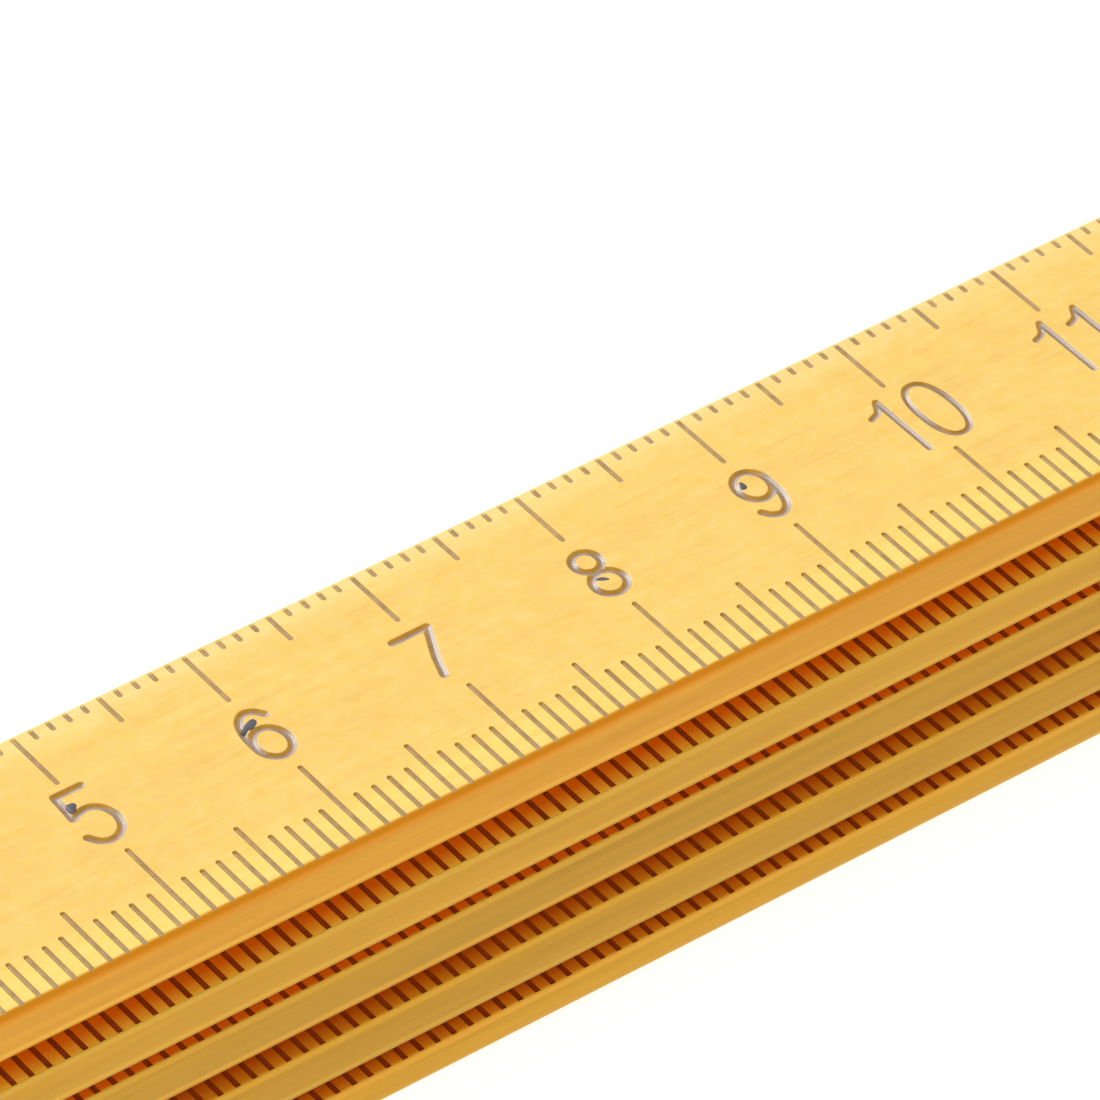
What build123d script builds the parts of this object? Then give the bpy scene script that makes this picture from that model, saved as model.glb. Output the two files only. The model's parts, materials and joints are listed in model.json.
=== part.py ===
from build123d import *
from math import sqrt
import os

# A one-metre wooden folding rule of five leaves, folded up into a stack.
#
# Millimetres, +Z up. The origin is the middle of the stack's underside, X runs along the leaves
# and the reading edge of the top leaf is on the -Y side. Leaf 1, on top, carries the readings
# 0 to 22 cm from -X to +X, and leaf 5, at the bottom, ends at 100 cm. Joint n holds leaf n on
# leaf n + 1: the odd joints are at the +X end and the even joints at the -X end.

os.makedirs("parts", exist_ok=True)

# Leaves
leaf_count = 5
total_reach = 1000.0                    # the opened rule, end to end
pivot_inset = 12.5                      # from a leaf's end to its pivot
leaf_width = 16.0
leaf_thicknesses = (2.7, 2.55, 2.75, 2.7, 2.1)
outer_edge_radius = 0.35                # round the stack's top and bottom faces
inner_edge_radius = 0.15                # round the faces inside the stack
leaf_corner_radius = 1.0                # in plan, where an end meets the long sides
leaf_offsets = (0.15, -0.35, 0.22, 0.06, 0.22)   # each leaf's middle, across, from its pivots' line
pivot_spacing = (total_reach - 2 * pivot_inset) / leaf_count
leaf_length = pivot_spacing + 2 * pivot_inset

# Joint plates, one on each of the two leaves that meet, inside the gap between them
plate_thickness = 0.5
plate_disc_radius = 7.0
plate_tongue_width = 9.0
plate_tongue_length = 22.0              # from the pivot to the tongue's end
plate_tongue_corner = 2.5
spring_thickness = 0.28
running_play = 0.02                     # between the spring and the plate that slides on it
leaf_gap = 2 * plate_thickness + spring_thickness + running_play

# Detents: four pockets in a shallow track, and two nibs on the spring
detent_radius = 5.0
track_width = 1.3
track_depth = 0.15
pocket_diameter = 1.2
pocket_depth = 0.3
pocket_count = 4
nib_diameter = 0.9
nib_height = 0.1
nib_edge = 0.06
nib_count = 2

# Detent spring: a thin washer, slit to free the two nibs, keyed by two pegs of the lower plate
spring_radius = 6.4
slit_radius = 3.9
slit_width = 0.4
slit_angle = 110.0
peg_diameter = 1.0
peg_height = 0.2
peg_count = 2

# Pivot rivets, tight in the lower leaf and free in the upper one
pivot_diameter = 3.2
pivot_clearance = 0.05                  # radial
pivot_head_diameter = 6.4
pivot_head_height = 0.7
pivot_head_edge = 0.15
pivot_head_sink = 0.05                  # below the leaf's face
pivot_bore_diameter = 1.7               # hollow ends of the rivet
pivot_bore_depth = 1.3

# Fixing rivets, through the plate's tongue and the leaf
fixing_diameter = 1.6
fixing_offsets = (11.0, 18.0)           # from the pivot
fixing_head_diameter = 2.8
fixing_head_height = 0.5
fixing_head_edge = 0.12
fixing_head_sink = 0.05

# End caps: folded sheet over the two free ends, let in flush
cap_length = 11.0
cap_sheet = 0.4
cap_rivet_offset = 6.5                  # from the free end
cap_rivet_diameter = 2.0
cap_rivet_head_diameter = 3.4
cap_rivet_head_height = 0.35
cap_rivet_head_sink = 0.03


def leaf_bottom(leaf):
    """Height of a leaf's lower face."""
    return sum(leaf_thicknesses[leaf:]) + (leaf_count - leaf) * leaf_gap


def leaf_top(leaf):
    return leaf_bottom(leaf) + leaf_thicknesses[leaf - 1]


def joint_side(joint):
    """+1 where the joint is at the +X end of the stack, -1 at the -X end."""
    return 1 if joint % 2 == 1 else -1


def joint_x(joint):
    return joint_side(joint) * pivot_spacing / 2


def joint_ends(leaf):
    """The ends of a leaf, +1 or -1, that have a joint."""
    return [joint_side(joint) for joint in (leaf - 1, leaf) if 1 <= joint < leaf_count]


def free_end(leaf):
    """The end of the first or the last leaf, +1 or -1, that has no joint."""
    return -joint_ends(leaf)[0]


def end_x(leaf, side, y):
    """Where an end of a leaf is at y: on the arc about its pivot, or at the square tip."""
    if side in joint_ends(leaf):
        return side * (pivot_spacing / 2 + sqrt(pivot_inset**2 - y**2))
    return side * leaf_length / 2


def blank(leaf):
    """A leaf before drilling: arcs about its pivots, square at a free end, edges broken."""
    near_y = leaf_offsets[leaf - 1] - leaf_width / 2
    far_y = leaf_offsets[leaf - 1] + leaf_width / 2
    with BuildPart() as piece:
        with BuildSketch(Plane.XY.offset(leaf_bottom(leaf))) as plan:
            with BuildLine():
                for y in (near_y, far_y):
                    Line((end_x(leaf, -1, y), y), (end_x(leaf, 1, y), y))
                for side in (-1, 1):
                    near = (end_x(leaf, side, near_y), near_y)
                    far = (end_x(leaf, side, far_y), far_y)
                    if side in joint_ends(leaf):
                        ThreePointArc(near, (end_x(leaf, side, 0), 0), far)
                    else:
                        Line(near, far)
            make_face()
            fillet(plan.vertices(), leaf_corner_radius)
        extrude(amount=leaf_thicknesses[leaf - 1])
        for end, is_outer in ((0, leaf == leaf_count), (-1, leaf == 1)):
            face = piece.faces().filter_by(Axis.Z).sort_by(Axis.Z)[end]
            fillet(face.edges(), outer_edge_radius if is_outer else inner_edge_radius)
    return piece.part


def end_cap(leaf):
    """Sheet folded over the free end, with the leaf's own outer shape."""
    side = free_end(leaf)
    bottom = leaf_bottom(leaf)
    inner_x = side * (leaf_length / 2 - cap_length)
    with BuildPart() as piece:
        add(blank(leaf))
        split(bisect_by=Plane((inner_x, 0, 0), z_dir=(side, 0, 0)), keep=Keep.TOP)
        with BuildSketch(Plane.XY.offset(bottom + cap_sheet)):
            with Locations((side * (leaf_length / 2 - cap_sheet - cap_length / 2), 0)):
                Rectangle(cap_length, 2 * leaf_width)
        extrude(amount=leaf_thicknesses[leaf - 1] - 2 * cap_sheet, mode=Mode.SUBTRACT)
    return piece.part


def cap_rivet(leaf):
    """Flush rivet through both walls of an end cap and the wood between them."""
    x = free_end(leaf) * (leaf_length / 2 - cap_rivet_offset)
    low = leaf_bottom(leaf) + cap_rivet_head_sink
    high = leaf_top(leaf) - cap_rivet_head_sink
    radius = cap_rivet_diameter / 2
    head_radius = cap_rivet_head_diameter / 2
    with BuildPart() as piece:
        with BuildSketch(Plane.XZ):
            with BuildLine():
                Polyline(
                    (x, low),
                    (x + head_radius, low),
                    (x + head_radius, low + cap_rivet_head_height / 2),
                    (x + radius, low + cap_rivet_head_height),
                    (x + radius, high - cap_rivet_head_height),
                    (x + head_radius, high - cap_rivet_head_height / 2),
                    (x + head_radius, high),
                    (x, high),
                    close=True,
                )
            make_face()
        revolve(axis=Axis((x, 0, 0), (0, 0, 1)))
    return piece.part


def bored_leaf(leaf):
    """A leaf with the holes and the flush pockets of its rivets."""
    with BuildPart() as piece:
        add(blank(leaf))
        for joint in (leaf - 1, leaf):
            if not 1 <= joint < leaf_count:
                continue
            is_upper = joint == leaf
            clearance = pivot_clearance if is_upper else 0
            face_z = leaf_top(leaf) if is_upper else leaf_bottom(leaf)
            outer_face = Plane((joint_x(joint), 0, face_z),
                               x_dir=(1, 0, 0), z_dir=(0, 0, 1 if is_upper else -1))
            with Locations(outer_face):
                CounterBoreHole(
                    radius=pivot_diameter / 2 + clearance,
                    counter_bore_radius=pivot_head_diameter / 2 + clearance,
                    counter_bore_depth=pivot_head_height + pivot_head_sink,
                    depth=leaf_thicknesses[leaf - 1],
                )
            for offset in fixing_offsets:
                with Locations(outer_face * Location((-joint_side(joint) * offset, 0, 0))):
                    CounterBoreHole(
                        radius=fixing_diameter / 2,
                        counter_bore_radius=fixing_head_diameter / 2,
                        counter_bore_depth=fixing_head_height + fixing_head_sink,
                        depth=leaf_thicknesses[leaf - 1],
                    )
    return piece.part


def plate(joint, face_z):
    """Joint plate, a disc about the pivot with a tongue along the leaf, face_z its lower face."""
    side = joint_side(joint)
    x = joint_x(joint)
    with BuildPart() as piece:
        with BuildSketch(Plane((x, 0, face_z))):
            with Locations((-side * plate_tongue_length / 2, 0)):
                RectangleRounded(plate_tongue_length, plate_tongue_width, plate_tongue_corner)
            Circle(plate_disc_radius)
            with Locations(*[(-side * offset, 0) for offset in fixing_offsets]):
                Circle(fixing_diameter / 2, mode=Mode.SUBTRACT)
        extrude(amount=plate_thickness)
    return piece.part


def upper_plate(joint):
    """Plate under the upper leaf, with the track and the pockets of the detents in its face."""
    face_z = leaf_bottom(joint) - plate_thickness
    with BuildPart() as piece:
        add(plate(joint, face_z))
        with BuildSketch(Plane((joint_x(joint), 0, face_z))):
            Circle(detent_radius + track_width / 2)
            Circle(detent_radius - track_width / 2, mode=Mode.SUBTRACT)
        extrude(amount=track_depth, mode=Mode.SUBTRACT)
        with BuildSketch(Plane((joint_x(joint), 0, face_z))):
            with PolarLocations(detent_radius, pocket_count):
                Circle(pocket_diameter / 2)
        extrude(amount=pocket_depth, mode=Mode.SUBTRACT)
        with BuildSketch(Plane((joint_x(joint), 0, face_z))):
            Circle(pivot_diameter / 2 + pivot_clearance)
        extrude(amount=plate_thickness, mode=Mode.SUBTRACT)
    return piece.part


def lower_plate(joint):
    """Plate on the lower leaf, with the pegs that keep the spring from turning."""
    face_z = leaf_top(joint + 1)
    with BuildPart() as piece:
        add(plate(joint, face_z))
        with BuildSketch(Plane((joint_x(joint), 0, face_z))):
            Circle(pivot_diameter / 2)
        extrude(amount=plate_thickness, mode=Mode.SUBTRACT)
        with BuildSketch(Plane((joint_x(joint), 0, face_z + plate_thickness))):
            with PolarLocations(detent_radius, peg_count, start_angle=90):
                Circle(peg_diameter / 2)
        extrude(amount=peg_height)
    return piece.part


def detent_spring(joint):
    """Slit washer on the lower plate, with the nibs that drop into the pockets."""
    face_z = leaf_top(joint + 1) + plate_thickness
    with BuildPart() as piece:
        with BuildSketch(Plane((joint_x(joint), 0, face_z))):
            Circle(spring_radius)
            Circle(pivot_diameter / 2, mode=Mode.SUBTRACT)
            with PolarLocations(detent_radius, peg_count, start_angle=90):
                Circle(peg_diameter / 2, mode=Mode.SUBTRACT)
            for middle in (0, 180):
                with BuildLine() as slit:
                    CenterArc((0, 0), slit_radius, middle - slit_angle / 2, slit_angle)
                SlotArc(slit.edge(), slit_width, mode=Mode.SUBTRACT)
        extrude(amount=spring_thickness)
        with BuildSketch(Plane((joint_x(joint), 0, face_z + spring_thickness))):
            with PolarLocations(detent_radius, nib_count):
                Circle(nib_diameter / 2)
        extrude(amount=nib_height)
        fillet(piece.faces().sort_by(Axis.Z)[-nib_count:].edges(), nib_edge)
    return piece.part


def pivot_rivet(joint):
    """Rivet with a flush head in each leaf's outer face and hollow ends."""
    x = joint_x(joint)
    low = leaf_bottom(joint + 1) + pivot_head_sink
    high = leaf_top(joint) - pivot_head_sink
    with BuildPart() as piece:
        with BuildSketch(Plane((x, 0, low))):
            Circle(pivot_diameter / 2)
        extrude(amount=high - low)
        for face_z, height in ((low, pivot_head_height), (high, running_play - pivot_head_height)):
            with BuildSketch(Plane((x, 0, face_z))):
                Circle(pivot_head_diameter / 2)
            extrude(amount=height)
        outer_faces = piece.faces().sort_by(Axis.Z)
        fillet(outer_faces[0].edges() + outer_faces[-1].edges(), pivot_head_edge)
        for face_z, inward in ((low, 1), (high, -1)):
            with BuildSketch(Plane((x, 0, face_z))):
                Circle(pivot_bore_diameter / 2)
            extrude(amount=inward * pivot_bore_depth, mode=Mode.SUBTRACT)
    return piece.part


def fixing_rivets(joint, leaf):
    """The rivets that hold one leaf's plate, from the plate's face to the leaf's outer face."""
    is_upper = joint == leaf
    outward = 1 if is_upper else -1
    if is_upper:
        plate_face = leaf_bottom(leaf) - plate_thickness
        outer_end = leaf_top(leaf) - fixing_head_sink
    else:
        plate_face = leaf_top(leaf) + plate_thickness
        outer_end = leaf_bottom(leaf) + fixing_head_sink
    places = [(-joint_side(joint) * offset, 0) for offset in fixing_offsets]
    with BuildPart() as piece:
        with BuildSketch(Plane((joint_x(joint), 0, plate_face))):
            with Locations(*places):
                Circle(fixing_diameter / 2)
        extrude(amount=outer_end - plate_face)
        with BuildSketch(Plane((joint_x(joint), 0, outer_end))):
            with Locations(*places):
                Circle(fixing_head_diameter / 2)
        extrude(amount=-outward * fixing_head_height)
        heads = piece.edges().filter_by(GeomType.CIRCLE).group_by(SortBy.RADIUS)[-1]
        fillet(heads.group_by(Axis.Z)[-1 if is_upper else 0], fixing_head_edge)
    return piece.part


def save(part, name):
    part.label = name
    export_step(part, f"parts/{name}.step")


for leaf in range(1, leaf_count + 1):
    with BuildPart() as wood:
        add(bored_leaf(leaf))
        if leaf in (1, leaf_count):
            add(end_cap(leaf), mode=Mode.SUBTRACT)
            add(cap_rivet(leaf), mode=Mode.SUBTRACT)
    save(wood.part, f"leaf_{leaf}")

for leaf, name in ((1, "zero"), (leaf_count, "far")):
    with BuildPart() as cap:
        add(end_cap(leaf))
        add(cap_rivet(leaf), mode=Mode.SUBTRACT)
    save(cap.part, f"{name}_end_cap")
    save(cap_rivet(leaf), f"{name}_end_cap_rivet")

for joint in range(1, leaf_count):
    save(upper_plate(joint), f"joint_{joint}_upper_plate")
    save(lower_plate(joint), f"joint_{joint}_lower_plate")
    save(detent_spring(joint), f"joint_{joint}_detent_spring")
    save(pivot_rivet(joint), f"joint_{joint}_pivot_rivet")
    save(fixing_rivets(joint, joint), f"joint_{joint}_upper_fixing_rivets")
    save(fixing_rivets(joint, joint + 1), f"joint_{joint}_lower_fixing_rivets")
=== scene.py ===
import json
import math

import bpy
import numpy as np
from mathutils import Matrix, Vector
from mathutils.geometry import delaunay_2d_cdt


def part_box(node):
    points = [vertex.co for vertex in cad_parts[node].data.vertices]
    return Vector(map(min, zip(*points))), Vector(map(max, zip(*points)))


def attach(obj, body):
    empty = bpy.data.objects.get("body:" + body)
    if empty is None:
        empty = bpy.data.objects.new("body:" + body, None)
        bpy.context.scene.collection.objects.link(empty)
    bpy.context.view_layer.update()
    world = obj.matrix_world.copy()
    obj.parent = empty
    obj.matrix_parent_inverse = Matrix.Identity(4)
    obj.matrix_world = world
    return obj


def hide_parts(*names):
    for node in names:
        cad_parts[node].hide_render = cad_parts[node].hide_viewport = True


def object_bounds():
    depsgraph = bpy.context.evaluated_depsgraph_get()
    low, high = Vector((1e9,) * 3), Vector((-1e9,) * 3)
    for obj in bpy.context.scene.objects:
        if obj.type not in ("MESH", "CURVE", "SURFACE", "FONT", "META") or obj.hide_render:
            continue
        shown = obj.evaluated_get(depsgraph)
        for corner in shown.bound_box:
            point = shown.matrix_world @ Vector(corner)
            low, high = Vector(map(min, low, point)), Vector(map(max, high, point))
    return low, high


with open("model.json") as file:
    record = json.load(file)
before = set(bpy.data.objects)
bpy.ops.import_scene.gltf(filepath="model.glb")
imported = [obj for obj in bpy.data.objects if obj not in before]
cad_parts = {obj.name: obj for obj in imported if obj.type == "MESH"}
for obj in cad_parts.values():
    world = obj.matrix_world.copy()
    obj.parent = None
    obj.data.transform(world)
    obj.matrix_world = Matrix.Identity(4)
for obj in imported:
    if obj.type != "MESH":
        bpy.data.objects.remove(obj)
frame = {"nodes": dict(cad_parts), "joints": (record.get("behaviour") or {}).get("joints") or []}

# A folding rule of five lacquered wooden leaves, with its scale engraved and inked on every face.
# Shapes are worked out in millimetres, in the frame's own axes, and stored in metres.

cad_low, cad_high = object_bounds()
MM = 0.001
LEAVES = 5
RNG = np.random.default_rng(20)


def box_mm(node):
    low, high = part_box(node)
    return np.array(low) / MM, np.array(high) / MM


# ---------------- dimensions from the frame
PIVOT_X = {}             # joint number: where its pivot is along the stack
for joint in frame["joints"]:
    PIVOT_X[int(joint["name"].split("_")[1])] = joint["pos_m"][0] / MM
PIVOT_REACH = abs(PIVOT_X[1])
LEAF_LOW = {n: box_mm(f"leaf_{n}")[0] for n in range(1, LEAVES + 1)}
LEAF_HIGH = {n: box_mm(f"leaf_{n}")[1] for n in range(1, LEAVES + 1)}
HALF_LENGTH = LEAF_HIGH[2][0]
LEAF_LENGTH = 2 * HALF_LENGTH
LEAF_WIDTH = LEAF_HIGH[1][1] - LEAF_LOW[1][1]
HALF_WIDTH = LEAF_WIDTH / 2
LEAF_BOTTOM = {n: LEAF_LOW[n][2] for n in LEAF_LOW}
LEAF_TOP = {n: LEAF_HIGH[n][2] for n in LEAF_HIGH}
LEAF_MIDDLE = {n: (LEAF_LOW[n][1] + LEAF_HIGH[n][1]) / 2 for n in LEAF_LOW}
END_RADIUS = HALF_LENGTH - PIVOT_REACH
CAP_LENGTH = box_mm("zero_end_cap")[1][0] + HALF_LENGTH

OUTER_EDGE = 0.35        # radius of the broken edges round the stack's top and bottom faces
INNER_EDGE = 0.15        # and round the faces inside the stack
CORNER_RADIUS = 1.0      # in plan
CAP_SHEET = 0.4


# ---------------- marks
# Readings run along a leaf as r, 0 to its length; v runs across it, -HALF_WIDTH to HALF_WIDTH,
# with the figures' feet towards the first.
OUTER_TICK_WIDTH = 0.31
INNER_TICK_WIDTH = 0.37  # the faces inside the stack are less worn down
LONG_TICKS = {1: 3.05, 5: 4.4, 10: 6.15}        # millimetres, from the edge inward
SHORT_TICKS = {1: 1.0, 5: 2.4, 10: 4.3}
TICK_PROFILE = ((0.0, 0.12), (0.35, 0.11), (0.86, 0.025), (1.0, 0.0))    # half widths, depth
OUTER_TICK_START = 0.26  # from the leaf's edge: worn off the rounded edge
INNER_TICK_START = 0.07
TICK_LENGTH_SCATTER = 0.035
TICK_PLACE_SCATTER = 0.018
PLAIN_END = 2            # millimetres without marks at each end of a leaf

FIGURE_PROFILES = {
    "single": ((0.0, 0.125), (0.05, 0.12), (0.225, 0.03), (0.275, 0.0)),
    "double": ((0.0, 0.11), (0.04, 0.106), (0.18, 0.027), (0.225, 0.0)),
    "nick": ((0.0, 0.015), (0.05, 0.012), (0.10, 0.0)),
}
# Shallow dents of use in the upper face of leaf 1, as reading and distance from the near edge.
NICKS = (((92.75, 3.50), (93.20, 3.78), (93.75, 3.74), (94.25, 3.42)),
         ((68.2, 3.70), (68.7, 3.52), (69.1, 3.58)), ((55.3, 3.9), (56.2, 4.05)),
         ((83.1, 12.4), (83.9, 12.1), (84.3, 12.2)), ((62.4, 11.9), (63.3, 11.75)))
FIGURE_SIZES = {"single": (1.80, 3.54), "double": (1.98, 4.34)}     # between stroke centres
FIGURE_BASES = {"single": 7.15, "double": 6.70}                     # from the near edge
FIGURE_GAP = 0.72        # between the two figures of a number
RIVET_CLEARANCE = 0.45   # a number nearer than this to a rivet is left out


def arc_points(centre, radii, start, end, count, power=2.0):
    """Points of an ellipse's arc, angles in degrees, squared off when power is over 2."""
    points = []
    for i in range(count + 1):
        a = math.radians(start + (end - start) * i / count)
        c, s = math.cos(a), math.sin(a)
        points.append((centre[0] + radii[0] * math.copysign(abs(c) ** (2 / power), c),
                       centre[1] + radii[1] * math.copysign(abs(s) ** (2 / power), s)))
    return points


def smooth(points, per_span=5):
    """A Catmull-Rom curve through the points."""
    p = [np.array(q, float) for q in points]
    p = [2 * p[0] - p[1]] + p + [2 * p[-1] - p[-2]]
    out = []
    for i in range(1, len(p) - 2):
        for j in range(per_span):
            t = j / per_span
            out.append(tuple(0.5 * (2 * p[i] + (p[i + 1] - p[i - 1]) * t
                                    + (2 * p[i - 1] - 5 * p[i] + 4 * p[i + 1] - p[i + 2]) * t ** 2
                                    + (3 * p[i] - p[i - 1] - 3 * p[i + 1] + p[i + 2]) * t ** 3)))
    return out + [tuple(p[-2])]


# Strokes of the figures in units of FIGURE_SIZES, x from the figure's middle. A closed stroke is a loop.
SIX_STEM = smooth([(-0.53, 0.31), (-0.50, 0.62), (-0.33, 0.88), (-0.03, 1.0), (0.27, 0.95), (0.45, 0.83)])
SIX_LOOP = arc_points((-0.03, 0.31), (0.50, 0.31), 0, 360, 30)
STROKES = {
    "0": [arc_points((0, 0.5), (0.5, 0.5), 0, 360, 36, power=2.3)],
    "1": [[(0.24, 1.0), (0.24, 0.0)], smooth([(-0.26, 0.78), (0.02, 0.84), (0.2, 0.98)])],
    "2": [smooth([(-0.46, 0.74), (-0.36, 0.92), (0.0, 1.0), (0.38, 0.9), (0.46, 0.7), (0.3, 0.48),
                  (-0.1, 0.22), (-0.46, 0.0)]), [(-0.46, 0.0), (0.5, 0.0)]],
    "3": [smooth([(-0.44, 0.86), (-0.2, 0.98), (0.1, 1.0), (0.38, 0.9), (0.42, 0.72), (0.25, 0.56),
                  (-0.05, 0.53)]),
          smooth([(-0.05, 0.53), (0.3, 0.49), (0.48, 0.28), (0.36, 0.07), (0.05, 0.0), (-0.3, 0.04),
                  (-0.5, 0.2)])],
    "4": [[(0.2, 0.0), (0.2, 1.0)], [(0.2, 1.0), (-0.5, 0.27)], [(-0.5, 0.27), (0.5, 0.27)]],
    "5": [[(0.44, 1.12), (-0.42, 1.12)], smooth([(-0.42, 1.12), (-0.45, 0.85), (-0.48, 0.62)]),
          smooth([(-0.48, 0.62), (-0.22, 0.68), (0.10, 0.70), (0.41, 0.59), (0.545, 0.36), (0.40, 0.12),
                  (0.04, 0.0), (-0.33, 0.04), (-0.58, 0.21)])],
    "6": [SIX_LOOP, SIX_STEM],
    "7": [[(-0.68, 0.975), (0.47, 0.975)],
          smooth([(0.47, 0.965), (0.18, 0.66), (-0.07, 0.38), (-0.30, 0.04)])],
    "8": [arc_points((-0.03, 0.76), (0.40, 0.215), 0, 360, 26),
          arc_points((0.0, 0.25), (0.48, 0.25), 0, 360, 28)],
    "9": [[(-x, 1 - y) for x, y in SIX_LOOP], [(-x, 1 - y) for x, y in SIX_STEM]],
}


def number_strokes(number, r):
    """The strokes of a number, centred on its line at r, as point lists in (r, v)."""
    kind = "single" if number < 10 else "double"
    width, height = FIGURE_SIZES[kind]
    half = FIGURE_PROFILES[kind][-1][0]
    digits, cursor = [], 0.0
    for digit in str(number):
        strokes = [[(x * width, y * height) for x, y in s] for s in STROKES[digit]]
        left = min(x for s in strokes for x, _ in s) - half
        right = max(x for s in strokes for x, _ in s) + half
        digits.append((strokes, cursor - left))
        cursor += right - left + FIGURE_GAP
    middle = (cursor - FIGURE_GAP) / 2 if kind == "double" else digits[0][1]
    base = FIGURE_BASES[kind] - HALF_WIDTH
    return kind, [np.array([(r + x + shift - middle, base + y) for x, y in s])
                  for strokes, shift in digits for s in strokes]


def nick_strokes():
    return [("nick", [np.array([(r, v - HALF_WIDTH) for r, v in smooth(nick, 3)])]) for nick in NICKS]


def profile_depth(distance, profile):
    return np.interp(distance, [p[0] for p in profile], [p[1] for p in profile])


def distance_to_line(points, line):
    """Distance of each point to a polyline."""
    a, b = line[:-1], line[1:]
    ab = b - a
    ap = points[:, None] - a[None]
    t = np.clip((ap * ab).sum(2) / (ab ** 2).sum(1), 0, 1)
    return np.linalg.norm(ap - t[..., None] * ab, axis=2).min(1)


def ribbon(line, half, closed):
    """The outline of a stroke as closed loops of points."""
    if closed:
        line = line[:-1]
        ahead, behind = np.roll(line, -1, 0), np.roll(line, 1, 0)
    else:
        ahead, behind = np.vstack([line[1:], line[-1:]]), np.vstack([line[:1], line[:-1]])
    along = ahead - behind
    along /= np.linalg.norm(along, axis=1)[:, None]
    side = np.stack([-along[:, 1], along[:, 0]], 1) * half
    if closed:
        return [line + side, line - side]

    def cap(centre, direction, across):
        angles = np.radians([-60, -30, 0, 30, 60])
        return [centre + half * (math.cos(a) * direction + math.sin(a) * across / half) for a in angles]

    end = cap(line[-1], along[-1], -side[-1])
    start = cap(line[0], -along[0], side[0])
    return [np.vstack([line + side, end, (line - side)[::-1], start])]


class Marks:
    """The engraved marks of one face of a leaf: ticks on both edges and the numbers."""

    def __init__(self, first_reading, long_edge, tick_width, tick_start, rivets):
        self.tick_half = tick_width / 2
        self.tick_start = tick_start
        self.tick_profile = [(part * self.tick_half, depth) for part, depth in TICK_PROFILE]
        count = int(LEAF_LENGTH)
        self.figures = []
        self.ticks = {}
        for edge in (-1, 1):
            lengths = LONG_TICKS if edge == long_edge else SHORT_TICKS
            places, ends = [], []
            for k in range(count + 1):
                reading = first_reading + k
                kind = 10 if reading % 10 == 0 else 5 if reading % 5 == 0 else 1
                length = lengths[kind] + RNG.normal(0, TICK_LENGTH_SCATTER)
                places.append(k + RNG.normal(0, TICK_PLACE_SCATTER))
                ends.append(edge * (HALF_WIDTH - length))
            self.ticks[edge] = (np.array(places), np.array(ends))
        for k in range(count + 1):
            if (first_reading + k) % 10 == 0 and PLAIN_END < k < count - PLAIN_END:
                kind, strokes = number_strokes((first_reading + k) // 10, k)
                every = np.vstack(strokes)
                if all(np.hypot(*(every - (r, v)).T).min() > radius + RIVET_CLEARANCE
                       for r, v, radius in rivets):
                    self.figures.append((kind, strokes))

    def loops(self):
        """The contour lines of every groove, as lists of (r, v) loops or open lines."""
        out = []
        for edge, (places, ends) in self.ticks.items():
            start = edge * (HALF_WIDTH - self.tick_start)
            for k, (place, end) in enumerate(zip(places, ends)):
                if not PLAIN_END < k < LEAF_LENGTH - PLAIN_END:
                    continue
                centre = end + edge * self.tick_half
                for half, _ in self.tick_profile[1:]:
                    turn = [(place - half * math.cos(a), centre - edge * half * math.sin(a))
                            for a in np.linspace(0, math.pi, 7)]
                    out.append(np.array([(place - half, start)] + turn + [(place + half, start)]))
        for kind, strokes in self.figures:
            for line in strokes:
                closed = np.allclose(line[0], line[-1])
                for half, _ in FIGURE_PROFILES[kind][1:]:
                    out += ribbon(line, half, closed)
        return out

    def depth(self, points):
        """Depth of the marks under each (r, v) point."""
        r, v = points[:, 0], points[:, 1]
        depth = np.zeros(len(points))
        nearest = np.clip(np.rint(r).astype(int), 0, int(LEAF_LENGTH))
        allowed = (nearest > PLAIN_END) & (nearest < LEAF_LENGTH - PLAIN_END)
        for edge, (places, ends) in self.ticks.items():
            centre = ends[nearest] + edge * self.tick_half
            past = np.maximum(edge * (centre - v), 0)
            distance = np.hypot(r - places[nearest], past)
            groove = allowed & (edge * v < HALF_WIDTH - self.tick_start - 1e-4)
            depth = np.maximum(depth, np.where(groove, profile_depth(distance, self.tick_profile), 0))
        for kind, strokes in self.figures:
            profile = FIGURE_PROFILES[kind]
            reach = profile[-1][0]
            every = np.vstack(strokes)
            low, high = every.min(0) - reach, every.max(0) + reach
            close = np.nonzero(((points > low) & (points < high)).all(1))[0]
            if len(close):
                distance = np.min([distance_to_line(points[close], line) for line in strokes], axis=0)
                depth[close] = np.maximum(depth[close], profile_depth(distance, profile))
        return depth


# ---------------- leaves
EDGE_STEPS = 4           # faces across a broken edge
GUARD_RING = 0.06        # flat rim kept round the face inside the broken edge
HOLE_SIDES = 48
ROUND_END_STEPS = 33
FLAT_END_STEPS = 9
CORNER_STEPS = 9
SIDE_STEPS = 111
END_MARGIN = 2.0         # inward of a rounded end, where the long sides are surely straight
OUTLINE_BREAK = 6.0      # a longer step is where an end's points start and stop, not a side
POINTS_AT_ONCE = 4000
ON_RIM = 2e-3            # how near a point on a hole's rim lies to its circle


def leaf_joint_ends(leaf):
    """{end, +1 or -1: joint number} of a leaf."""
    ends = {}
    for joint, x in PIVOT_X.items():
        if joint in (leaf - 1, leaf):
            ends[1 if x > 0 else -1] = joint
    return ends


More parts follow.
